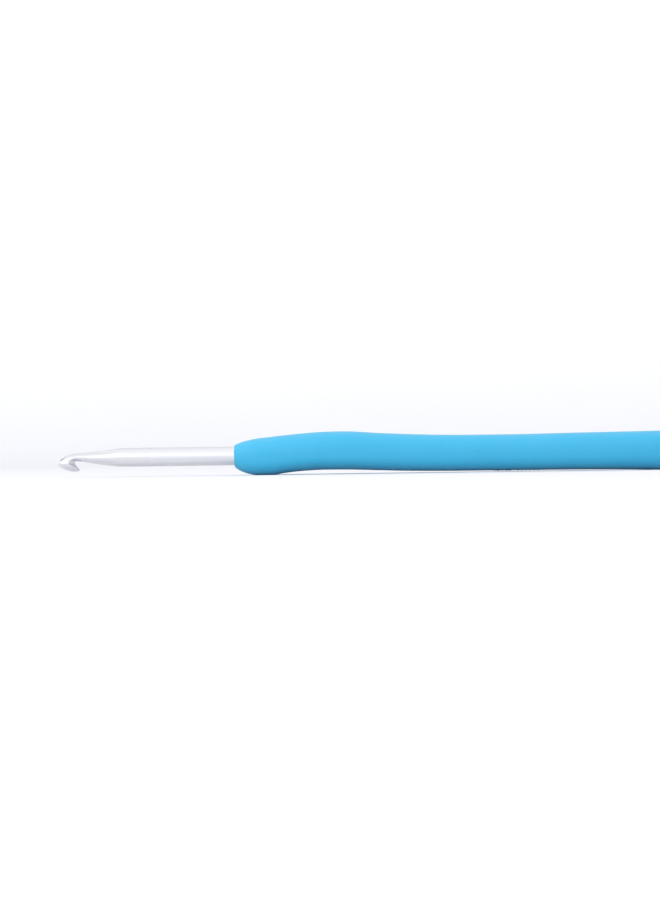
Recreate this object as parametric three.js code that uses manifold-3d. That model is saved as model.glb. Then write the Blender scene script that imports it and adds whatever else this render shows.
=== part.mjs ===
// A soft-grip crochet hook, size 4.0, lying on its thumb side. Millimetres, +Z up.
// +X runs from the head to the tail of the handle, and the mouth of the head faces down.
//
// It is three pieces: a light-alloy hook whose coined tang is locked in a rigid plastic core, and a soft
// grip moulded over the core. The core's tail shows as an oval button in the end of the grip.
//
// Every piece is a loft through sections. A section is an oval that stands on an inner point and reaches to
// an outer point, both in the plane y = 0, with its full width somewhere between them. Along the shaft and
// the handle the inner point is straight below the outer one. In the head the sections fan round the root
// of the mouth, so the metal follows a J from the throat, through the nose, to the lip.

import * as THREE from 'three';
import { mergeVertices } from 'three/addons/utils/BufferGeometryUtils.js';
import Module from 'manifold-3d';

// Driving dimensions. A place along the hook is its distance from the nose, and a height is above the
// shaft's axis.
const LENGTH = 140;
const SHAFT_RADIUS = 2;
const AXIS_HEIGHT = 4.15; // above the surface that the handle's two feet rest on
const PLAY = 0.2; // between the moulded faces of neighbouring pieces
const SOFT_WALL = 0.8; // of the grip over the core

const TAPER_END = 14.2; // where the throat has grown to the full shaft
const GRIP_START = 37.8;
const TANG_END = 88;
const CORE_START = 41.5;
const CORE_TAIL = LENGTH - 0.3; // the button lies just below the end of the grip

const NOSE_LENGTH = 5.8; // of the grip's rounded front
const NOSE_FACE = 2.3; // half-size of the flat face that the shaft comes out of
const TAIL_LENGTH = 5.5;
const TAIL_FACE = { height: 2.6, width: 3.7 }; // half-sizes of the flat end
const BUTTON = { height: 1.75, width: 2.85 }; // half-sizes of the core where it shows

const COIN = { start: 76, end: 84, slope: 1.6, height: 1.4, width: 2.65 }; // the flattened tang
const WINDOW = { start: 50, end: 71, width: 3.4, top: -0.8 }; // open underside of the core
const KEYS = { first: 94, pitch: 9, count: 4, length: 3, depth: 0.45 }; // grooves that lock the grip

const ROUND = { inner: 2, outer: 2, widest: 0 }; // a plain ellipse

// The head and throat: inner point, outer point, half-width, and how far up the section it is widest,
// from -1 at the inner point to 1 at the outer one.
const HEAD = [
  { inner: [11.2, -1.72], outer: [11.2, 1.7], half: 1.78, widest: 0 },
  { inner: [8.2, -1.33], outer: [8.2, 1.36], half: 1.54, widest: 0 },
  { inner: [5.8, -0.94], outer: [5.7, 1.16], half: 1.42, widest: 0 },
  { inner: [4.7, -0.8], outer: [4.3, 1.06], half: 1.46, widest: 0 },
  { inner: [4.15, -0.76], outer: [3.2, 0.98], half: 1.56, widest: 0 },
  { inner: [3.86, -0.79], outer: [2.2, 0.66], half: 1.68, widest: -0.06 },
  { inner: [3.71, -0.86], outer: [1.1, 0.14], half: 1.78, widest: -0.14 },
  { inner: [3.66, -0.95], outer: [0.28, -0.5], half: 1.84, widest: -0.2 },
  { inner: [3.68, -1.05], outer: [0, -1.28], half: 1.86, widest: -0.24 },
  { inner: [3.78, -1.22], outer: [0.42, -1.9], half: 1.82, widest: -0.3 },
  { inner: [4.0, -1.52], outer: [1.5, -2.42], half: 1.66, widest: -0.38 },
  { inner: [4.28, -1.88], outer: [2.8, -2.83], half: 1.38, widest: -0.45 },
  { inner: [4.5, -2.13], outer: [3.55, -2.94], half: 1.12, widest: -0.35 },
  { inner: [4.66, -2.3], outer: [4.08, -2.9], half: 0.88, widest: -0.2 },
  { inner: [4.72, -2.42], outer: [4.56, -2.74], half: 0.45, widest: 0 },
];

// The grip's outside: finger swell above, thumb rest below, a slim waist and a fuller tail.
const GRIP = [
  { at: 37.8, up: 3.3, down: 4.08, half: 4.2 },
  { at: 43, up: 3.72, down: 4.2, half: 4.8 },
  { at: 45.8, up: 4.0, down: 4.2, half: 5.04 },
  { at: 48.4, up: 4.26, down: 3.82, half: 5.22 },
  { at: 52, up: 4.6, down: 3.44, half: 5.38 },
  { at: 57, up: 4.9, down: 3.22, half: 5.45 },
  { at: 61, up: 4.95, down: 3.24, half: 5.42 },
  { at: 69, up: 4.48, down: 3.5, half: 5.15 },
  { at: 76, up: 4.14, down: 3.72, half: 4.9 },
  { at: 85, up: 3.88, down: 3.83, half: 4.72 },
  { at: 96, up: 3.83, down: 3.86, half: 4.72 },
  { at: 110, up: 3.98, down: 3.9, half: 4.92 },
  { at: 122, up: 4.1, down: 4.02, half: 5.15 },
  { at: 131, up: 4.18, down: 4.22, half: 5.3 },
  { at: 140, up: 4.18, down: 4.24, half: 5.3 },
];
const GRIP_SHAPE = { inner: 2.7, outer: 2.35 }; // how square the oval is below and above

const wasm = await Module();
wasm.setup();

// A smooth curve through the values that never overshoots them.
function monotone(knots, values) {
  const last = knots.length - 1;
  const slopes = knots.slice(1).map((k, i) => (values[i + 1] - values[i]) / (k - knots[i]));
  const tangents = values.map((_, i) => {
    const [before, after] = [slopes[Math.max(i - 1, 0)], slopes[Math.min(i, last - 1)]];
    return before * after <= 0 ? 0 : (2 * before * after) / (before + after);
  });
  return (at) => {
    let i = 0;
    while (i < last - 1 && at > knots[i + 1]) i++;
    const span = knots[i + 1] - knots[i];
    const t = (at - knots[i]) / span;
    const [a, b] = [values[i], values[i + 1]];
    const [ta, tb] = [tangents[i] * span, tangents[i + 1] * span];
    return a + t * (ta + t * (3 * (b - a) - 2 * ta - tb + t * (2 * (a - b) + ta + tb)));
  };
}

// The point of a section at an angle from its outer point. A power of 2 is an ellipse, and more is squarer.
function sectionPoint({ inner, outer, half, widest, innerPower, outerPower }, angle) {
  const [c, s] = [Math.cos(angle), Math.sin(angle)];
  const power = 2 / (c < 0 ? innerPower : outerPower);
  const reach = Math.abs(c) ** power;
  const along = c < 0 ? widest - (1 + widest) * reach : widest + (1 - widest) * reach;
  const share = (1 + along) / 2;
  return new THREE.Vector3(
    inner[0] + (outer[0] - inner[0]) * share,
    Math.sign(s) * half * Math.abs(s) ** power,
    inner[1] + (outer[1] - inner[1]) * share,
  );
}

// A closed surface through the sections, which run from one flat end to the other.
function loft(sections, around, shapePoint = (point) => point) {
  const points = [];
  const triangles = [];
  for (const section of sections) {
    for (let i = 0; i < around; i++) {
      points.push(shapePoint(sectionPoint(section, (2 * Math.PI * i) / around)));
    }
  }
  for (let ring = 0; ring + 1 < sections.length; ring++) {
    for (let i = 0; i < around; i++) {
      const a = ring * around + i;
      const b = ring * around + ((i + 1) % around);
      triangles.push(a, b, a + around, b, b + around, a + around);
    }
  }
  for (const start of [0, (sections.length - 1) * around]) {
    const centre = new THREE.Vector3();
    for (let i = 0; i < around; i++) centre.addScaledVector(points[start + i], 1 / around);
    for (let i = 0; i < around; i++) {
      const edge = [start + i, start + ((i + 1) % around)];
      triangles.push(points.length, ...(start ? edge : edge.reverse()));
    }
    points.push(centre);
  }
  return new THREE.BufferGeometry().setFromPoints(points).setIndex(triangles);
}

function toSolid(geometry) {
  const merged = mergeVertices(geometry);
  const mesh = new wasm.Mesh({
    numProp: 3,
    vertProperties: merged.attributes.position.array,
    triVerts: new Uint32Array(merged.index.array),
  });
  return new wasm.Manifold(mesh);
}

function toGeometry(solid) {
  const { vertProperties, triVerts } = solid.getMesh();
  const geometry = new THREE.BufferGeometry();
  geometry.setAttribute('position', new THREE.BufferAttribute(vertProperties, 3));
  geometry.setIndex(new THREE.BufferAttribute(triVerts, 1));
  return geometry;
}

function boxSolid(start, end, width, bottom, top) {
  const geometry = new THREE.BoxGeometry(end - start, width, top - bottom);
  geometry.translate((start + end) / 2, 0, (bottom + top) / 2);
  geometry.deleteAttribute('normal');
  geometry.deleteAttribute('uv');
  return toSolid(geometry);
}

// An upright section round the shaft's axis.
function upright(at, up, down, half, shape = ROUND) {
  return {
    inner: [at, -down],
    outer: [at, up],
    half,
    widest: (down - up) / (down + up), // on the axis
    innerPower: shape.inner,
    outerPower: shape.outer,
  };
}

const range = (start, end, steps) =>
  Array.from({ length: steps + 1 }, (_, i) => start + ((end - start) * i) / steps);

// The knots, with even steps no longer than `step` between them.
const filled = (knots, step) => [
  knots[0],
  ...knots.slice(1).flatMap((knot, i) => {
    const steps = Math.ceil(Math.abs(knot - knots[i]) / step);
    return range(knots[i], knot, steps).slice(1);
  }),
];

// The shaft inside the handle, grown by `play` all round: round, then coined flat and wide.
function tangSections(start, end, play) {
  const coin = (at, share) =>
    upright(
      at,
      THREE.MathUtils.lerp(SHAFT_RADIUS, COIN.height, share) + play,
      THREE.MathUtils.lerp(SHAFT_RADIUS, COIN.height, share) + play,
      THREE.MathUtils.lerp(SHAFT_RADIUS, COIN.width, share) + play,
    );
  return [
    coin(end, 0),
    coin(COIN.end, 0),
    coin(COIN.end - COIN.slope, 1),
    coin(COIN.start + COIN.slope, 1),
    coin(COIN.start, 0),
    coin(start, 0),
  ];
}

// The throat, head and lip, from the full shaft to the blunt end of the lip.
function headSections(step) {
  const full = { inner: [TAPER_END, -SHAFT_RADIUS], outer: [TAPER_END, SHAFT_RADIUS] };
  const stations = [{ ...full, half: SHAFT_RADIUS, widest: 0 }, ...HEAD];
  const knots = [0];
  for (let i = 1; i < stations.length; i++) {
    const [a, b] = [stations[i - 1].outer, stations[i].outer];
    knots.push(knots[i - 1] + Math.hypot(b[0] - a[0], b[1] - a[1]));
  }
  const channel = (read) => monotone(knots, stations.map(read));
  const innerX = channel((s) => s.inner[0]);
  const innerZ = channel((s) => s.inner[1]);
  const outerX = channel((s) => s.outer[0]);
  const outerZ = channel((s) => s.outer[1]);
  const half = channel((s) => s.half);
  const widest = channel((s) => s.widest);
  return filled(knots, step).map((at) => ({
    inner: [innerX(at), innerZ(at)],
    outer: [outerX(at), outerZ(at)],
    half: half(at),
    widest: widest(at),
    innerPower: ROUND.inner,
    outerPower: ROUND.outer,
  }));
}

// Half-sizes of the grip's outside, before its ends are rounded.
function gripSizes() {
  const places = GRIP.map((s) => s.at);
  const channel = (name) => monotone(places, GRIP.map((s) => s[name]));
  return { up: channel('up'), down: channel('down'), half: channel('half') };
}

const grip = gripSizes();

// Places along the handle between two ends, from the tail to the nose.
function bodyPlaces(start, end, step) {
  const inside = GRIP.map((s) => s.at).filter((at) => at > start + 0.5 && at < end - 0.5);
  return filled([start, ...inside, end], step).reverse();
}

// Sections of the grip's outside. Its two ends are quarter-ellipses that run into flat faces.
function gripSections(noseSteps, step, tailSteps) {
  const section = (at, face, share) =>
    upright(
      at,
      THREE.MathUtils.lerp(face.height, grip.up(at), share),
      THREE.MathUtils.lerp(face.height, grip.down(at), share),
      THREE.MathUtils.lerp(face.width, grip.half(at), share),
      {
        inner: THREE.MathUtils.lerp(ROUND.inner, GRIP_SHAPE.inner, share),
        outer: THREE.MathUtils.lerp(ROUND.outer, GRIP_SHAPE.outer, share),
      },
    );
  const noseFace = { height: NOSE_FACE, width: NOSE_FACE };
  const turn = Math.PI / 2;
  const tail = range(0, turn, tailSteps).map((angle) =>
    section(LENGTH - TAIL_LENGTH * (1 - Math.cos(angle)), TAIL_FACE, Math.sin(angle)),
  );
  const body = bodyPlaces(GRIP_START + NOSE_LENGTH, LENGTH - TAIL_LENGTH, step).map((at) =>
    section(at, noseFace, 1),
  );
  const nose = range(turn, 0, noseSteps).map((angle) =>
    section(GRIP_START + NOSE_LENGTH * (1 - Math.cos(angle)), noseFace, Math.sin(angle)),
  );
  return [...tail, ...body.slice(1, -1), ...nose];
}

// Sections of the core's outside, grown by `play`: the grip's shape less its soft wall, with grooves that
// the soft layer fills, and a narrower tail that ends in the button.
function coreSections(start, end, play, step) {
  const keyEnd = KEYS.first + KEYS.pitch * (KEYS.count - 1) + KEYS.length;
  const inset = SOFT_WALL + PLAY - play;
  const body = (at, groove) =>
    upright(
      at,
      grip.up(at) - inset - groove,
      grip.down(at) - inset - groove,
      grip.half(at) - inset - groove,
      GRIP_SHAPE,
    );
  const button = (at) =>
    upright(at, BUTTON.height + play, BUTTON.height + play, BUTTON.width + play, ROUND);
  const sections = [button(end), button(LENGTH - 3), body(LENGTH - TAIL_LENGTH, 0)];
  sections.push(body((LENGTH - TAIL_LENGTH + keyEnd) / 2, 0));
  for (let key = KEYS.count - 1; key >= 0; key--) {
    const from = KEYS.first + KEYS.pitch * key + play;
    const to = from + KEYS.length - 2 * play;
    sections.push(body(to + KEYS.depth, 0), body(to, KEYS.depth));
    sections.push(body(from, KEYS.depth), body(from - KEYS.depth, 0));
  }
  return [...sections, ...bodyPlaces(start, KEYS.first - 2, step).map((at) => body(at, 0))];
}

function makeHook() {
  const tang = tangSections(GRIP_START, TANG_END, 0);
  return loft([...tang, ...headSections(0.55)], 24);
}

function makeCore() {
  const outside = toSolid(loft(coreSections(CORE_START, CORE_TAIL, 0, 4.6), 32));
  const bore = toSolid(loft(tangSections(CORE_START - 1, TANG_END + PLAY, PLAY), 24));
  const { start, end, width, top } = WINDOW;
  const opening = boxSolid(start, end, width, -AXIS_HEIGHT, top);
  return toGeometry(outside.subtract(bore).subtract(opening));
}

function makeGrip() {
  const onFeet = (point) => point.setZ(Math.max(point.z, -AXIS_HEIGHT));
  const outside = toSolid(loft(gripSections(6, 3.6, 5), 40, onFeet));
  const { start, end, width, top } = WINDOW;
  const fill = boxSolid(start + PLAY, end - PLAY, width - 2 * PLAY, -AXIS_HEIGHT, top);
  const hollow = toSolid(loft(coreSections(CORE_START - PLAY, LENGTH + 1, PLAY, 4.6), 32)).subtract(fill);
  const shaftHole = toSolid(loft(tangSections(GRIP_START - 1, TANG_END + PLAY, PLAY), 24));
  return toGeometry(outside.subtract(hollow).subtract(shaftHole));
}

function piece(name, geometry, colour, roughness, metalness) {
  const material = new THREE.MeshStandardMaterial({ color: colour, roughness, metalness });
  const mesh = new THREE.Mesh(geometry, material);
  mesh.name = name;
  return mesh;
}

const hook = new THREE.Group();
hook.position.set(-LENGTH / 2, 0, AXIS_HEIGHT);
hook.add(piece('hook_shaft', makeHook(), 0xdcdee2, 0.28, 1));
hook.add(piece('handle_core', makeCore(), 0x2f9fd6, 0.45, 0));
hook.add(piece('soft_grip', makeGrip(), 0x4bb4e6, 0.6, 0));

const part = new THREE.Group();
part.add(hook);
export default part;
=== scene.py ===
"""A soft-grip crochet hook, size 4.0, lying on a pale table under soft studio light.

The pieces are worked out in millimetres: a place along the hook is its distance from the nose, and a height
is above the shaft's axis. `in_frame` puts them in the CAD frame, in metres.
"""

import math

import bmesh
import bpy
import numpy as np
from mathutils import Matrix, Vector


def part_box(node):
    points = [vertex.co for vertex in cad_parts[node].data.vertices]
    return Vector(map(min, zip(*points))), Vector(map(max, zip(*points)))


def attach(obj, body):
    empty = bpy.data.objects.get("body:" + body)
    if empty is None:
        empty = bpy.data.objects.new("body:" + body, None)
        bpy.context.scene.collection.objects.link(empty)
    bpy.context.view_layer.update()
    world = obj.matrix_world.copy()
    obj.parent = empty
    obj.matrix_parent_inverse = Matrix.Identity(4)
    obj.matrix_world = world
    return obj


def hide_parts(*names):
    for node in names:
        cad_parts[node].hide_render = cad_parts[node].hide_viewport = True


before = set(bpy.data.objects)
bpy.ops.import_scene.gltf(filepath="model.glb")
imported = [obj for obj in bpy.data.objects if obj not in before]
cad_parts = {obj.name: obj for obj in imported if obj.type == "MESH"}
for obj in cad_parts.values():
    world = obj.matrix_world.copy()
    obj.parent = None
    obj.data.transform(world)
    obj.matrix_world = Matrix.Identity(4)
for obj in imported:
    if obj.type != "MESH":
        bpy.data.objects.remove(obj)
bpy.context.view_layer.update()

MM = 0.001
HOOK_BOX, GRIP_BOX, CORE_BOX = (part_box(node) for node in ("hook_shaft", "soft_grip", "handle_core"))

# Sizes that follow the CAD.
SHAFT_RADIUS = 2.0
NOSE = Vector((HOOK_BOX[0].x, 0, HOOK_BOX[1].z - SHAFT_RADIUS * MM))  # the nose, level with the axis
GRIP_START = (GRIP_BOX[0].x - NOSE.x) / MM
LENGTH = (GRIP_BOX[1].x - NOSE.x) / MM
TANG_END = (HOOK_BOX[1].x - NOSE.x) / MM
CORE_START = (CORE_BOX[0].x - NOSE.x) / MM
CORE_TAIL = (CORE_BOX[1].x - NOSE.x) / MM
FEET = -NOSE.z / MM  # height of the surface that the handle rests on

PLAY = 0.2  # between hidden faces of neighbouring pieces
SOFT_WALL = 0.8  # of the grip over its core
TAPER_END = 14.2  # where the throat reaches the full shaft
COIN = {"start": 76, "end": 84, "slope": 1.6, "height": 1.4, "width": 2.65}  # the flattened tang
KEYS = {"first": 94, "pitch": 9, "count": 4, "length": 3, "depth": 0.45}  # grooves that lock the grip
BUTTON = (1.75, 2.85)  # half-height and half-width of the core where it shows
BUTTON_EDGE = 0.3  # radius of its rounded rim
BUTTON_NECK = 3.0  # how far from the tail the core has narrowed to the button
GATE = {"radius": 0.72, "depth": 0.14, "wall": 0.16}  # the small round recess in the middle of the button
PIP = {"radius": 0.24, "height": 0.09}  # the trimmed sprue that stands in the recess
TAIL_FACE = (2.6, 3.7)  # half-height and half-width of the flat end of the grip
NOSE_LENGTH, TAIL_LENGTH = 5.8, 5.5  # of the grip's rounded ends
NOSE_FACE = (2.15, 2.15)  # where the grip's rounded front begins, round the shaft
NOSE_ROUNDING = 1.3  # 1 is a quarter ellipse, and more cuts its corner away
HOLE_RADIUS = 2.03  # of the grip's hole for the shaft
HOLE_LIP, OPENING_LIP = 0.12, 0.3  # radii of the lips round that hole and round the opening at the tail

# The head and throat, as stations of a J. Each has its inner point on the side of the mouth, its outer
# point on the outline, its half-width, where it is widest from -1 (inner) to 1 (outer), and the power of its
# inner part: 2 is an ellipse, and less is a slanting facet with crisper edges, as in the cut mouth.
HEAD = np.array([
    # inner x, inner z, outer x, outer z, half, widest, power
    [11.2, -1.72, 11.2, 1.70, 1.78, 0.00, 2.0],
    [8.2, -1.33, 8.2, 1.36, 1.54, 0.00, 2.0],
    [5.8, -0.94, 5.7, 1.16, 1.42, 0.00, 2.0],
    [4.7, -0.80, 4.3, 1.06, 1.46, 0.00, 1.8],
    [4.15, -0.76, 3.2, 0.98, 1.56, 0.00, 1.5],
    [3.86, -0.79, 2.2, 0.66, 1.68, -0.06, 1.4],
    [3.71, -0.86, 1.1, 0.14, 1.78, -0.14, 1.35],
    [3.66, -0.95, 0.28, -0.50, 1.84, -0.20, 1.35],
    [3.68, -1.05, 0.0, -1.28, 1.86, -0.24, 1.35],
    [3.78, -1.22, 0.42, -1.90, 1.82, -0.30, 1.4],
    [4.0, -1.52, 1.5, -2.42, 1.66, -0.38, 1.5],
    [4.28, -1.88, 2.8, -2.83, 1.38, -0.42, 1.7],
    [4.50, -2.13, 3.55, -2.94, 1.12, -0.35, 1.9],
    [4.66, -2.30, 4.08, -2.90, 0.88, -0.20, 2.0],
])

HEAD_STEP = 0.06  # between its sections
HEAD_EASING = 0.7  # how far along the outline its stations are rounded off
LIP_DOME = 0.28  # length of the dome that ends the lip

# The grip's outside: finger swell above, thumb rest below, a slim waist and a fuller tail.
GRIP = np.array([
    # at, up, down, half
    [37.8, 3.30, 4.08, 4.20],
    [43.0, 3.72, 4.20, 4.80],
    [45.8, 4.00, 4.20, 5.04],
    [48.4, 4.26, 3.82, 5.22],
    [52.0, 4.60, 3.44, 5.38],
    [57.0, 4.90, 3.22, 5.45],
    [61.0, 4.95, 3.24, 5.42],
    [69.0, 4.48, 3.50, 5.15],
    [76.0, 4.14, 3.72, 4.90],
    [85.0, 3.88, 3.83, 4.72],
    [96.0, 3.83, 3.86, 4.72],
    [110.0, 3.98, 3.90, 4.92],
    [122.0, 4.10, 4.02, 5.15],
    [131.0, 4.18, 4.22, 5.30],
    [140.0, 4.18, 4.24, 5.30],
])
GRIP_SHAPE = (2.7, 2.35)  # how square the oval is below and above: 2 is an ellipse
ROUND = (2.0, 2.0)

FIGURE_EDGE = 0.3  # longest edge of the small faces that the size figures are cut into
FIGURE_ROOT = 0.06  # how deep the figures reach into the grip


# --- Curves and surfaces ---------------------------------------------------------------------------------


def monotone(knots, values, at):
    """A smooth curve through the values that never overshoots them.

    Between two knots it is a cubic. Its slope at a knot is the harmonic mean of the straight slopes on the
    two sides, or level where those differ in sign.
    """
    slopes = np.diff(values) / np.diff(knots)
    before, after = np.r_[slopes[:1], slopes], np.r_[slopes, slopes[-1:]]
    same_way = before * after > 0
    tangents = np.where(same_way, 2 * before * after / np.where(same_way, before + after, 1), 0)
    i = np.clip(np.searchsorted(knots, at, side="right") - 1, 0, len(slopes) - 1)
    span = np.diff(knots)[i]
    t = (at - knots[i]) / span
    a, b, ta, tb = values[i], values[i + 1], tangents[i] * span, tangents[i + 1] * span
    return a + t * (ta + t * (3 * (b - a) - 2 * ta - tb + t * (2 * (a - b) + ta + tb)))


def soften(rows, reach):
    """Rounds off each column by a bell-shaped moving average over `reach` samples on each side.

    Beyond its two ends a column goes on as its own image turned about the end point, so the ends stay.
    """
    steps = np.arange(-reach, reach + 1)
    bell = np.exp(-0.5 * (2.4 * steps / reach) ** 2)
    bell /= bell.sum()
    before, after = 2 * rows[0] - rows[reach:0:-1], 2 * rows[-1] - rows[-2:-reach - 2:-1]
    long = np.vstack([before, rows, after])
    return np.stack([np.convolve(column, bell, "valid") for column in long.T], axis=1)


def ovals(rows, around):
    """Rings of points, one ring for each row of inner x and z, outer x and z, half, widest and two powers.

    At an angle from the outer point, the distance along the section is its cosine and the distance
    sideways is its sine, each raised to 2 / power, so a power of 2 gives an ellipse and more is squarer.
    The widest place splits the section in two, and each part has its own length and power.
    """
    angle = np.arange(around) * (2 * np.pi / around)
    c, s = np.cos(angle), np.sin(angle)
    inner_x, inner_z, outer_x, outer_z, half, widest, inner_power, outer_power = rows.T[:, :, None]
    power = np.where(c < 0, 2 / inner_power, 2 / outer_power)
    reach = np.abs(c) ** power
    along = np.where(c < 0, widest - (1 + widest) * reach, widest + (1 - widest) * reach)
    share = (1 + along) / 2
    return np.stack([
        inner_x + (outer_x - inner_x) * share,
        np.sign(s) * half * np.abs(s) ** power,
        inner_z + (outer_z - inner_z) * share,
    ], axis=-1)


def upright(at, up, down, half, shape=ROUND):
    """Rows for `ovals`: sections square to the shaft's axis, widest at the height of the axis."""
    at, up, down, half, below, above = np.broadcast_arrays(at, up, down, half, shape[0], shape[1])
    return np.stack([at, -down, at, up, half, (down - up) / (down + up), below, above], axis=-1)


def in_frame(points):
    """Millimetres from the nose and the axis, to metres in the CAD frame."""
    return points * MM + np.array(NOSE)


def new_piece(name, points, faces, smooth=True):
    """A mesh object at the origin, from points in metres and lists of corners."""
    mesh = bpy.data.meshes.new(name)
    mesh.from_pydata(points, [], faces)
    mesh.polygons.foreach_set("use_smooth", np.full(len(mesh.polygons), smooth))
    mesh.validate()
    mesh.update()
    piece = bpy.data.objects.new(name, mesh)
    bpy.context.scene.collection.objects.link(piece)
    return piece


def skin(name, rings, closed=False):
    """Four-cornered faces between neighbouring rings.

    A closed skin joins its last ring to its first, as a tube bent back into itself. An open one is capped
    with a fan of triangles about the middle of each end ring. The faces are turned to point outwards,
    which the sign of the enclosed volume shows.
    """
    count, around, _ = rings.shape
    points = rings.reshape(-1, 3)
    ring, place = np.meshgrid(np.arange(count if closed else count - 1), np.arange(around), indexing="ij")
    following = (ring + 1) % count
    beside = (place + 1) % around
    quads = np.stack([ring * around + place, ring * around + beside,
                      following * around + beside, following * around + place], axis=-1).reshape(-1, 4)
    a, b, c, d = points[quads].transpose(1, 0, 2)
    volume = np.einsum("ij,ij->", a, np.cross(b, c)) + np.einsum("ij,ij->", a, np.cross(c, d))
    faces = quads.tolist()
    if not closed:
        for end, turn in ((0, -1), (count - 1, 1)):
            edge = end * around + np.arange(around)
            middle = np.full(around, len(points))
            points = np.vstack([points, points[edge].mean(axis=0)])
            faces += np.stack([middle, edge, np.roll(edge, -1)], axis=-1)[:, ::turn].tolist()
    if volume < 0:
        faces = [face[::-1] for face in faces]
    return new_piece(name, in_frame(points), faces)


# --- The three pieces ------------------------------------------------------------------------------------


def tang_rows(start, end, play, step):
    """Sections of the shaft inside the handle, from its end towards the head, grown by `play`.

    The share of coining rises from 0 to 1 and falls again along two eased slopes.
    """
    at = np.linspace(end, start, int(abs(end - start) / step) + 1)
    ramp = np.interp(at, [COIN["start"], COIN["start"] + COIN["slope"],
                          COIN["end"] - COIN["slope"], COIN["end"]], [0, 1, 1, 0])
    share = ramp * ramp * (3 - 2 * ramp)
    height = SHAFT_RADIUS + (COIN["height"] - SHAFT_RADIUS) * share + play
    return upright(at, height, height, SHAFT_RADIUS + (COIN["width"] - SHAFT_RADIUS) * share + play)


def head_rows(step):
    """Sections of the throat and head, from the full shaft round the J to the lip.

    Each channel of the stations is a smooth curve over the distance along the outline, rounded off.
    """
    full = [TAPER_END, -SHAFT_RADIUS, TAPER_END, SHAFT_RADIUS, SHAFT_RADIUS, 0, 2]
    shoulder = [TAPER_END + 3, -SHAFT_RADIUS, TAPER_END + 3, SHAFT_RADIUS, SHAFT_RADIUS, 0, 2]
    stations = np.vstack([shoulder, full, HEAD])
    knots = np.r_[0, np.cumsum(np.hypot(*np.diff(stations[:, 2:4], axis=0).T))]
    at = np.linspace(0, knots[-1], int(knots[-1] / step) + 1)
    rows = np.stack([monotone(knots, channel, at) for channel in stations.T], axis=-1)
    rows = soften(rows, int(HEAD_EASING / step))
    return np.hstack([rows, np.full((len(rows), 1), 2.0)])


def rounded_end(rows, length, count):
    """Goes on from the last section to a dome: the sections move on by the sine and shrink by the cosine."""
    last = rows[-1]
    ahead = last[:4].reshape(2, 2) - rows[-4][:4].reshape(2, 2)
    ahead = ahead.mean(axis=0) / np.linalg.norm(ahead.mean(axis=0))
    middle = last[:4].reshape(2, 2).mean(axis=0)
    angle = np.linspace(0, np.pi / 2, count + 1)[1:-1, None]
    dome = np.repeat(last[None], len(angle), axis=0)
    for first in (0, 2):
        corner = middle + (last[first:first + 2] - middle) * np.cos(angle)
        dome[:, first:first + 2] = corner + ahead * length * np.sin(angle)
    dome[:, 4] *= np.cos(angle[:, 0])
    return np.vstack([rows, dome])


def make_hook():
    """One skin from the end of the tang, along the shaft and the throat and round the J to the domed lip."""
    head = rounded_end(head_rows(HEAD_STEP), LIP_DOME, 12)
    shaft = upright(np.linspace(GRIP_START + 1, TAPER_END + 3, 90), SHAFT_RADIUS, SHAFT_RADIUS, SHAFT_RADIUS)
    tang = tang_rows(GRIP_START + 1, TANG_END, 0, 0.5)
    return skin("satin_hook", ovals(np.vstack([tang, shaft[1:-1], head]), 112))


def grip_sizes(at):
    """Half-sizes of the grip's outside before its ends are rounded: up, down and half-width."""
    return [monotone(GRIP[:, 0], GRIP[:, k], at) for k in (1, 2, 3)]


def grown(at, up, down, half, face, share):
    """Sections between a face at the end of the handle (share 0) and the full shape (share 1)."""
    mix = lambda small, large: small + (large - small) * share
    shape = [mix(np.float64(2), power) for power in GRIP_SHAPE]
    return upright(at, mix(face[0], up), mix(face[0], down), mix(face[1], half), shape)


def body_rows(at, inset):
    """Sections of the handle's full shape, less an inset all round."""
    up, down, half = grip_sizes(at)
    return upright(at, up - inset, down - inset, half - inset, GRIP_SHAPE)


def key_insets(at):
    """How far the core's grooves go in: a flat floor between two sloping walls, at an even pitch."""
    first, length, depth = KEYS["first"], KEYS["length"], KEYS["depth"]
    centres = first + length / 2 + KEYS["pitch"] * np.arange(KEYS["count"])
    off_centre = np.abs(at[:, None] - centres).min(axis=1)
    return np.clip(length / 2 + depth - off_centre, 0, depth)


def core_rows(start, play):
    """Sections of the core's outside, from its front to where it narrows, grown by `play`."""
    at = np.linspace(start, LENGTH - TAIL_LENGTH, 280)
    return body_rows(at, SOFT_WALL + PLAY - play + key_insets(at))


def lip_rows(at, up, half, radius, turn, count=7):
    """A rounded lip into a hole: a quarter circle from the face at `at` to the wall of the hole.

    `turn` is 1 at the front, where the hole runs towards +X, and -1 at the tail.
    """
    angle = np.linspace(0, np.pi / 2, count)
    inwards = radius * (1 - np.cos(angle)) * turn
    out = radius * (1 - np.sin(angle))
    return upright(at + inwards, up + out, up + out, half + out)


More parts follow.
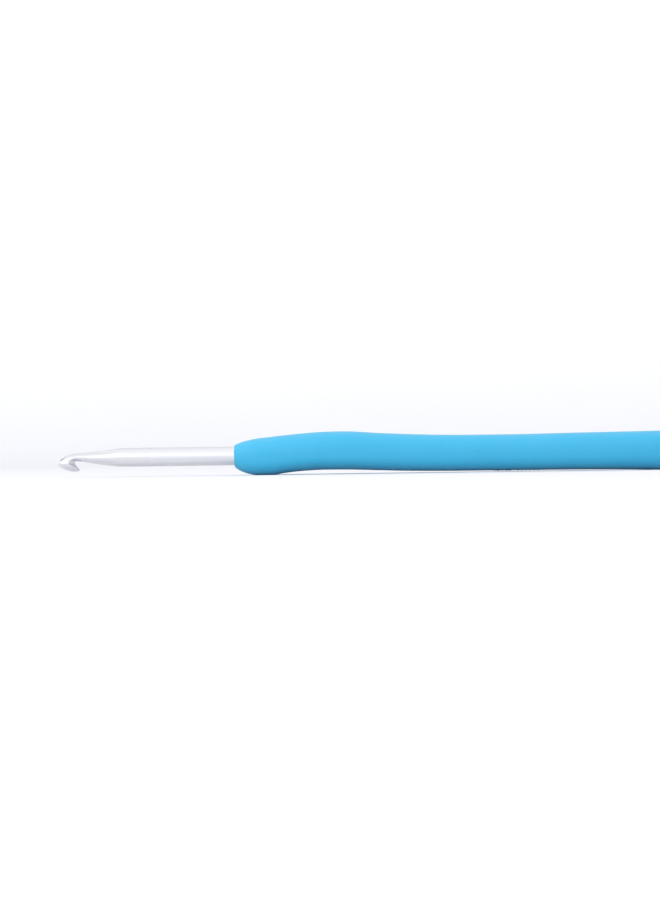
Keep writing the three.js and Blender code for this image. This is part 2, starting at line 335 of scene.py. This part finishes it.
def make_grip():
    """One skin that goes along the outside to the tail, round the lip of the tail's opening, back along
    the inside and round the lip where the shaft comes out."""
    turn = np.linspace(0, np.pi / 2, 26)
    nose_at = GRIP_START + NOSE_LENGTH * (1 - np.cos(turn))
    tail_at = LENGTH - TAIL_LENGTH * (1 - np.cos(turn[::-1]))
    nose = grown(nose_at, *grip_sizes(nose_at), NOSE_FACE, np.sin(turn) ** NOSE_ROUNDING)
    tail = grown(tail_at, *grip_sizes(tail_at), TAIL_FACE, np.sin(turn[::-1]))
    body = body_rows(np.linspace(nose_at[-1], tail_at[0], 240)[1:-1], 0)
    gap, wider_gap = 0.07, 0.1  # round the button, at the lip and behind it
    tail_lip = lip_rows(LENGTH, BUTTON[0] + gap, BUTTON[1] + gap, OPENING_LIP, -1)
    inside = core_rows(CORE_START - PLAY, PLAY)[::-1]
    neck_height, neck_half = BUTTON[0] + wider_gap, BUTTON[1] + wider_gap
    neck = upright(LENGTH - np.array([0.9, BUTTON_NECK]), neck_height, neck_height, neck_half)
    bore = upright(np.array([CORE_START - PLAY, GRIP_START + 0.6]), HOLE_RADIUS, HOLE_RADIUS, HOLE_RADIUS)
    nose_lip = lip_rows(GRIP_START, HOLE_RADIUS, HOLE_RADIUS, HOLE_LIP, 1)[::-1]
    rings = ovals(np.vstack([nose, body, tail, tail_lip, neck, inside, bore, nose_lip[:-1]]), 144)
    rings[..., 2] = on_feet(rings[..., 2])
    return skin("soft_handle", rings, closed=True)


def on_feet(height):
    """Flattens what would reach below the table, with a soft corner: the height above the table becomes
    the mean of itself and its own distance from zero, eased over a few hundredths."""
    above, ease = height - FEET, 0.03
    return FEET + (above + np.sqrt(above ** 2 + ease ** 2)) / 2


def make_core():
    """One skin from the blind end of the bore, forwards along the tang, over the front edge, back along
    the outside with its grooves, and over the rounded button to the gate mark at its middle."""
    bore = tang_rows(CORE_START, TANG_END + PLAY, PLAY, 0.5)
    outside = core_rows(CORE_START, 0)
    edge = np.linspace(0, np.pi / 2, 8)
    neck = upright(LENGTH - BUTTON_NECK, BUTTON[0], BUTTON[0], BUTTON[1])
    side = CORE_TAIL - BUTTON_EDGE * (1 - np.sin(edge))
    shrink = BUTTON_EDGE * (1 - np.cos(edge))
    button = upright(side, BUTTON[0] - shrink, BUTTON[0] - shrink, BUTTON[1] - shrink)
    share = np.linspace(1, 0, 22)[1:-1]
    high, wide = (GATE["radius"] + (size - BUTTON_EDGE - GATE["radius"]) * share for size in BUTTON)
    cap = upright(CORE_TAIL, high, high, wide)
    inner = np.linspace(GATE["radius"], 0.03, 16)
    recess = GATE["depth"] * np.clip((GATE["radius"] - inner) / GATE["wall"], 0, 1)
    pip = PIP["height"] * (inner < PIP["radius"])
    gate = upright(CORE_TAIL - recess + pip, inner, inner, inner)
    rows = np.vstack([bore, outside, neck[None], button, cap, gate])
    return skin("core_button", ovals(rows, 96))


def handle_height(at, across, side):
    """Height of the grip's outside at a place along and across it, above (side 1) or below (side -1).

    The two shares of a squared-off oval, each raised to its power, add up to one.
    """
    up, down, half = grip_sizes(at)
    power = GRIP_SHAPE[(side + 1) // 2]
    reach = up if side > 0 else down
    height = side * reach * (1 - np.abs(across / half) ** power) ** (1 / power)
    return on_feet(height) if side < 0 else height


def make_mark(name, text, at, aside, size, side, proud):
    """Plain size figures laid on the grip.

    Their outlines are filled and cleared of needle-thin faces, cut into small faces, dropped onto the
    surface at the height that `handle_height` gives plus `proud`, and thickened inwards.
    """
    curve = bpy.data.curves.new(name, "FONT")
    curve.body, curve.size = text, size
    curve.align_x, curve.align_y = "CENTER", "CENTER"
    curve.resolution_u = 6
    holder = bpy.data.objects.new(name, curve)
    bpy.context.scene.collection.objects.link(holder)
    mesh = bpy.data.meshes.new_from_object(holder.evaluated_get(bpy.context.evaluated_depsgraph_get()))
    bpy.data.objects.remove(holder)
    work = bmesh.new()
    work.from_mesh(mesh)
    bmesh.ops.remove_doubles(work, verts=work.verts, dist=0.004)
    bmesh.ops.dissolve_degenerate(work, edges=work.edges, dist=0.002)
    inner_edges = [edge for edge in work.edges if len(edge.link_faces) == 2]
    bmesh.ops.dissolve_limit(work, angle_limit=0.01, verts=[], edges=inner_edges)
    bmesh.ops.triangulate(work, faces=work.faces)
    for _ in range(4):
        long = [edge for edge in work.edges if edge.calc_length() > FIGURE_EDGE]
        bmesh.ops.subdivide_edges(work, edges=long, cuts=1)
        bmesh.ops.triangulate(work, faces=[face for face in work.faces if len(face.verts) > 3])
    flat = np.array([vertex.co[:2] for vertex in work.verts])
    faces = [[vertex.index for vertex in face.verts] for face in work.faces]
    work.free()
    bpy.data.meshes.remove(mesh)
    along, across = at + flat[:, 0], aside + side * flat[:, 1]
    height = handle_height(along, across, side) + side * proud
    mark = new_piece(name, in_frame(np.stack([along, across, height], axis=-1)), faces, smooth=False)
    wall = mark.modifiers.new("wall", "SOLIDIFY")
    wall.thickness, wall.offset = (proud + FIGURE_ROOT) * MM, -1
    return mark


# --- Finishes --------------------------------------------------------------------------------------------


def new_group(name, inputs, outputs):
    """A node group with its own sockets, and the nodes that stand for its inputs and its outputs."""
    group = bpy.data.node_groups.new(name, "ShaderNodeTree")
    for label, kind, value in inputs:
        socket = group.interface.new_socket(label, in_out="INPUT", socket_type=kind)
        socket.default_value = value
    for label, kind in outputs:
        group.interface.new_socket(label, in_out="OUTPUT", socket_type=kind)
    return group, group.nodes.new("NodeGroupInput"), group.nodes.new("NodeGroupOutput")


def add(tree, kind, inputs=(), **settings):
    """A node with its settings and its inputs, each a value or another node's output."""
    node = tree.nodes.new(kind)
    for name, value in settings.items():
        setattr(node, name, value)
    for key, value in dict(inputs).items():
        if isinstance(value, bpy.types.NodeSocket):
            tree.links.new(value, node.inputs[key])
        else:
            node.inputs[key].default_value = value
    return node


def spread(tree, value, low, high, new_low=0.0, new_high=1.0):
    """Stretches a value's range from low..high to new_low..new_high, and stops at both ends."""
    node = add(tree, "ShaderNodeMapRange", {"Value": value, "From Min": low, "From Max": high,
                                            "To Min": new_low, "To Max": new_high})
    return node.outputs["Result"]


def combine(tree, operation, *values):
    """A Math node's result."""
    node = add(tree, "ShaderNodeMath", dict(enumerate(values)), operation=operation)
    return node.outputs[0]


def noise_value(tree, place, scale, detail=2.0, roughness=0.5):
    """A cloudy value about 0.5."""
    node = add(tree, "ShaderNodeTexNoise", {"Vector": place, "Scale": scale, "Detail": detail,
                                            "Roughness": roughness})
    return node.outputs["Fac"]


def handling_group():
    """Cloudy marks of handling: broad smudges and small ones. Puts out a mask about 0.5."""
    group, source, result = new_group("handling", [
        ("Size", "NodeSocketFloat", 120.0),
        ("Contrast", "NodeSocketFloat", 1.0),
    ], [("Mask", "NodeSocketFloat")])
    place = add(group, "ShaderNodeTexCoord").outputs["Object"]
    broad = noise_value(group, place, source.outputs["Size"], 3.0, 0.55)
    fine_size = combine(group, "MULTIPLY", source.outputs["Size"], 5.3)
    fine = noise_value(group, place, fine_size, 4.0, 0.6)
    both = combine(group, "ADD", combine(group, "MULTIPLY", broad, 0.65),
                   combine(group, "MULTIPLY", fine, 0.35))
    off = combine(group, "MULTIPLY", combine(group, "SUBTRACT", both, 0.5), source.outputs["Contrast"])
    group.links.new(combine(group, "ADD", off, 0.5), result.inputs["Mask"])
    return group


def mould_grain_group():
    """The fine sparked texture of a moulding tool: rounded pits close together over a slight wave."""
    group, source, result = new_group("mould_grain", [
        ("Size", "NodeSocketFloat", 9000.0),
        ("Wave", "NodeSocketFloat", 0.3),
    ], [("Height", "NodeSocketFloat"), ("Pits", "NodeSocketFloat")])
    place = add(group, "ShaderNodeTexCoord").outputs["Object"]
    pits = add(group, "ShaderNodeTexVoronoi", {"Vector": place, "Scale": source.outputs["Size"]},
               feature="SMOOTH_F1")
    rounded = spread(group, pits.outputs["Distance"], 0.1, 0.75)
    wave_size = combine(group, "MULTIPLY", source.outputs["Size"], 0.11)
    wave = combine(group, "MULTIPLY", noise_value(group, place, wave_size, 3.0), source.outputs["Wave"])
    group.links.new(combine(group, "ADD", rounded, wave), result.inputs["Height"])
    group.links.new(rounded, result.inputs["Pits"])
    return group


def drawn_lines_group():
    """Fine lines drawn along the metal: noise stretched far along X. Height and a streak mask."""
    group, source, result = new_group("drawn_lines", [
        ("Fineness", "NodeSocketFloat", 9000.0),
        ("Stretch", "NodeSocketFloat", 0.02),
    ], [("Height", "NodeSocketFloat"), ("Streaks", "NodeSocketFloat")])
    place = add(group, "ShaderNodeTexCoord").outputs["Object"]
    along = add(group, "ShaderNodeCombineXYZ", {"X": source.outputs["Stretch"], "Y": 1.0, "Z": 1.0})
    drawn = add(group, "ShaderNodeVectorMath", {0: place, 1: along.outputs[0]}, operation="MULTIPLY")
    fine = noise_value(group, drawn.outputs[0], source.outputs["Fineness"], 1.0, 0.5)
    coarse_size = combine(group, "MULTIPLY", source.outputs["Fineness"], 0.35)
    coarse = noise_value(group, drawn.outputs[0], coarse_size, 1.0, 0.5)
    height = combine(group, "ADD", fine, combine(group, "MULTIPLY", coarse, 0.8))
    group.links.new(height, result.inputs["Height"])
    group.links.new(spread(group, coarse, 0.35, 0.65), result.inputs["Streaks"])
    return group


HANDLING, MOULD_GRAIN, DRAWN_LINES = handling_group(), mould_grain_group(), drawn_lines_group()


def use(tree, group, **inputs):
    """Places a node group in a material with its own values."""
    return add(tree, "ShaderNodeGroup", {name.replace("_", " "): v for name, v in inputs.items()},
               node_tree=group)


def new_finish(name, metallic=0.0, roughness=0.5, **constants):
    """A material with a Principled shader whose plain values are set on its own sockets."""
    material = bpy.data.materials.new(name)
    material.use_nodes = True
    tree = material.node_tree
    shader = tree.nodes["Principled BSDF"]
    shader.inputs["Metallic"].default_value = metallic
    shader.inputs["Roughness"].default_value = roughness
    for label, value in constants.items():
        shader.inputs[label.replace("_", " ")].default_value = value
    return material, tree, shader


def mixed(tree, share, first, second):
    """A colour between two, by a mask."""
    node = add(tree, "ShaderNodeMix", {"Factor": share}, data_type="RGBA")
    for socket, value in ((node.inputs[6], first), (node.inputs[7], second)):
        if isinstance(value, bpy.types.NodeSocket):
            tree.links.new(value, socket)
        else:
            socket.default_value = (*value, 1)
    return node.outputs[2]


def bump(tree, shader, height, distance, strength=1.0):
    """Fine relief, from a height between 0 and about 1 and its depth in metres."""
    node = add(tree, "ShaderNodeBump", {"Height": height, "Distance": distance, "Strength": strength})
    tree.links.new(node.outputs["Normal"], shader.inputs["Normal"])


def satin_alloy():
    """Tumbled light alloy: a soft satin with faint lengthwise lines and a slightly brighter, smoother head
    and throat where yarn runs over it."""
    material, tree, shader = new_finish("satin_alloy", metallic=1.0, roughness=0.24)
    lines = use(tree, DRAWN_LINES, Fineness=4200.0, Stretch=0.015)
    clouds = use(tree, HANDLING, Size=90.0, Contrast=0.5)
    place = add(tree, "ShaderNodeTexCoord").outputs["Object"]
    along = add(tree, "ShaderNodeSeparateXYZ", {0: place}).outputs["X"]
    polished = spread(tree, along, NOSE.x + 9 * MM, NOSE.x + 20 * MM, 1, 0)
    tone = mixed(tree, clouds.outputs["Mask"], (0.765, 0.77, 0.79), (0.81, 0.815, 0.83))
    tone = mixed(tree, combine(tree, "MULTIPLY", lines.outputs["Streaks"], 0.6), tone, (0.64, 0.645, 0.675))
    tree.links.new(tone, shader.inputs["Base Color"])
    rough = spread(tree, clouds.outputs["Mask"], 0.2, 0.8, 0.24, 0.32)
    rough = combine(tree, "SUBTRACT", rough, combine(tree, "MULTIPLY", polished, 0.05))
    tree.links.new(rough, shader.inputs["Roughness"])
    bump(tree, shader, lines.outputs["Height"], 0.000022, 0.8)
    return material


def soft_elastomer():
    """Matt sky-blue elastomer with a fine moulded grain, a faint line where the mould parts along the top
    and the underside, and slightly polished places where it is held."""
    material, tree, shader = new_finish(
        "soft_elastomer", roughness=0.6, Specular_IOR_Level=0.55, Sheen_Weight=0.15, Sheen_Roughness=0.5,
        Subsurface_Weight=0.06, Subsurface_Scale=0.0012, Subsurface_Radius=(0.25, 0.8, 1.0))
    grain = use(tree, MOULD_GRAIN, Size=7500.0, Wave=0.22)
    clouds = use(tree, HANDLING, Size=95.0, Contrast=1.5)
    place = add(tree, "ShaderNodeTexCoord").outputs["Object"]
    split = add(tree, "ShaderNodeSeparateXYZ", {0: place})
    from_middle = combine(tree, "ABSOLUTE", split.outputs["Y"])
    parting = spread(tree, from_middle, 0.02 * MM, 0.09 * MM, 1, 0)
    tone = mixed(tree, clouds.outputs["Mask"], (0.033, 0.455, 0.745), (0.039, 0.495, 0.795))
    tone = mixed(tree, combine(tree, "MULTIPLY", grain.outputs["Pits"], 0.4), tone, (0.05, 0.545, 0.845))
    tone = mixed(tree, combine(tree, "MULTIPLY", parting, 0.35), tone, (0.026, 0.39, 0.66))
    tree.links.new(tone, shader.inputs["Base Color"])
    rough = spread(tree, clouds.outputs["Mask"], 0.2, 0.8, 0.66, 0.52)
    rough = combine(tree, "SUBTRACT", rough, combine(tree, "MULTIPLY", parting, 0.12))
    tree.links.new(rough, shader.inputs["Roughness"])
    height = combine(tree, "ADD", grain.outputs["Height"], combine(tree, "MULTIPLY", parting, 1.6))
    bump(tree, shader, height, 0.000022, 0.7)
    return material


def figure_ink_and_shade(name, colour, roughness):
    """The figures' finish, with the same fine tooth as what it lies on: plain ink on the printed figures,
    and on the moulded ones a deeper blue than the grip, which is painted shade.
    """
    material, tree, shader = new_finish(name, roughness=roughness)
    grain = use(tree, MOULD_GRAIN, Size=7500.0, Wave=0.5)
    paler = tuple(channel + 0.06 * (1 - channel) for channel in colour)
    tree.links.new(mixed(tree, grain.outputs["Pits"], colour, paler), shader.inputs["Base Color"])
    bump(tree, shader, grain.outputs["Height"], 0.00001, 0.5)
    return material


def core_plastic():
    """Rigid plastic of a slightly deeper blue, a little glossier than the grip."""
    material, tree, shader = new_finish("core_plastic", roughness=0.35)
    grain = use(tree, MOULD_GRAIN, Size=5200.0, Wave=0.8)
    clouds = use(tree, HANDLING, Size=400.0, Contrast=1.3)
    tone = mixed(tree, clouds.outputs["Mask"], (0.016, 0.30, 0.54), (0.022, 0.34, 0.60))
    tree.links.new(tone, shader.inputs["Base Color"])
    tree.links.new(spread(tree, clouds.outputs["Mask"], 0.2, 0.8, 0.42, 0.30), shader.inputs["Roughness"])
    bump(tree, shader, grain.outputs["Height"], 0.000006, 0.4)
    return material


def table_card():
    """Smooth pale card with a barely visible tooth. Its rim is lit through from behind, which keeps the
    backdrop as bright as the table, and it throws less light back up than it shows."""
    material, tree, shader = new_finish("table_card", roughness=0.75, Specular_IOR_Level=0.3)
    place = add(tree, "ShaderNodeTexCoord").outputs["Object"]
    tooth = noise_value(tree, place, 2500.0, 3.0)
    pale = mixed(tree, tooth, (0.90, 0.90, 0.918), (0.915, 0.915, 0.933))
    rays = add(tree, "ShaderNodeLightPath")
    thrown = mixed(tree, rays.outputs["Is Diffuse Ray"], pale, (0.50, 0.50, 0.53))
    tree.links.new(thrown, shader.inputs["Base Color"])
    from_middle = add(tree, "ShaderNodeVectorMath", {0: place}, operation="LENGTH").outputs["Value"]
    glow = spread(tree, from_middle, 0.45, 1.3, 0, 1)
    tree.links.new(mixed(tree, glow, (0, 0, 0), (0.42, 0.42, 0.44)), shader.inputs["Emission Color"])
    shader.inputs["Emission Strength"].default_value = 1.0
    bump(tree, shader, tooth, 0.00002, 0.3)
    return material


# --- The pieces in place ---------------------------------------------------------------------------------


def finish_piece(piece, material, slot, *nodes):
    """Gives a piece its finish, fixes it to the one body, and hides the nodes it stands for; the slot is not
    used.
    """
    piece.data.materials.append(material)
    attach(piece, "root")
    if nodes:
        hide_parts(*nodes)


finish_piece(make_hook(), satin_alloy(), "hook_metal", "hook_shaft")
finish_piece(make_grip(), soft_elastomer(), "grip_rubber", "soft_grip")
finish_piece(make_core(), core_plastic(), "core_plastic", "handle_core")
# The moulded figures are of the grip's own elastomer; their deeper blue is painted shade.
finish_piece(make_mark("moulded_size", "4.0 mm", 98, -1.4, 3.3, -1, 0.07),
             figure_ink_and_shade("moulded_figures_painted_shade", (0.02, 0.30, 0.55), 0.5), "grip_rubber")
finish_piece(make_mark("printed_size", "4.0", 123, 0, 3.4, 1, 0.015),
             figure_ink_and_shade("printed_figures", (0.80, 0.86, 0.90), 0.45), "grip_rubber")


# --- Table, light and camera -----------------------------------------------------------------------------


def make_table():
    """A flat round table whose rim sweeps up all round: level out to a radius, then a rise that grows with
    the square of the distance beyond it."""
    radius = np.r_[0.002, np.geomspace(0.01, 0.5, 24), np.linspace(0.52, 1.6, 70)]
    height = 0.6 * np.clip(radius - 0.5, 0, None) ** 2
    angle = np.arange(128) * (2 * np.pi / 128)
    rings = np.stack([
        radius[:, None] * np.cos(angle),
        radius[:, None] * np.sin(angle),
        np.repeat(height[:, None], len(angle), axis=1),
    ], axis=-1)
    count, around, _ = rings.shape
    start, place = np.meshgrid(np.arange(count - 1) * around, np.arange(around), indexing="ij")
    beside = (place + 1) % around
    quads = np.stack([start + place, start + around + place,
                      start + around + beside, start + beside], axis=-1)
    middle = np.stack([np.full(around, count * around), np.arange(around),
                       (np.arange(around) + 1) % around], axis=-1)
    points = np.vstack([rings.reshape(-1, 3), [[0, 0, 0]]])
    table = new_piece("table", points, quads.reshape(-1, 4).tolist() + middle.tolist())
    table.data.materials.append(table_card())


def soft_box(name, place, aim, size, power):
    """A rectangular studio light that faces `aim` and is itself out of sight."""
    light = bpy.data.lights.new(name, "AREA")
    light.shape = "RECTANGLE"
    light.size, light.size_y = size
    light.energy = power
    lamp = bpy.data.objects.new(name, light)
    bpy.context.scene.collection.objects.link(lamp)
    lamp.location = place
    lamp.rotation_euler = (Vector(aim) - Vector(place)).to_track_quat("-Z", "Y").to_euler()
    lamp.visible_camera = False


def light_studio():
    """A pale surround, with soft light from above, from the front and from the left."""
    world = bpy.data.worlds.new("studio")
    world.use_nodes = True
    back = world.node_tree.nodes["Background"]
    back.inputs["Color"].default_value = (0.95, 0.96, 1.0, 1)
    back.inputs["Strength"].default_value = 0.74
    bpy.context.scene.world = world
    soft_box("overhead", (-0.12, 0.02, 0.8), (0, 0, 0), (1.6, 1.1), 2.4)
    soft_box("front", (-0.2, -0.82, 0.45), (0, 0, 0), (2.6, 0.75), 3.6)
    soft_box("left", (-0.42, -0.30, 0.22), (-0.03, 0, 0), (0.5, 0.36), 0.7)


def set_camera():
    """Level with the hook, looking along +Y across it, with a slight roll; the long side of the picture
    is upright, and the handle runs out of its right edge."""
    LENS, SENSOR = 85.0, 36.0
    LOOK_AT, ABOVE_AXIS = 58.25, 0.98  # along the hook and above its axis
    ACROSS = 141.2  # millimetres of the scene that the picture's width takes in, at the hook
    ROLL = 0.0138
    camera = bpy.data.cameras.new("camera")
    camera.lens, camera.sensor_width = LENS, SENSOR
    distance = LENS / SENSOR * ACROSS * 900 / 660
    camera.clip_start, camera.clip_end = 0.01, 20
    holder = bpy.data.objects.new("camera", camera)
    bpy.context.scene.collection.objects.link(holder)
    holder.location = (NOSE.x + LOOK_AT * MM, -distance * MM, NOSE.z + ABOVE_AXIS * MM)
    holder.rotation_euler = (math.pi / 2, ROLL, 0)
    bpy.context.scene.camera = holder


make_table()
light_studio()
set_camera()
bpy.context.scene.view_settings.view_transform = "Standard"
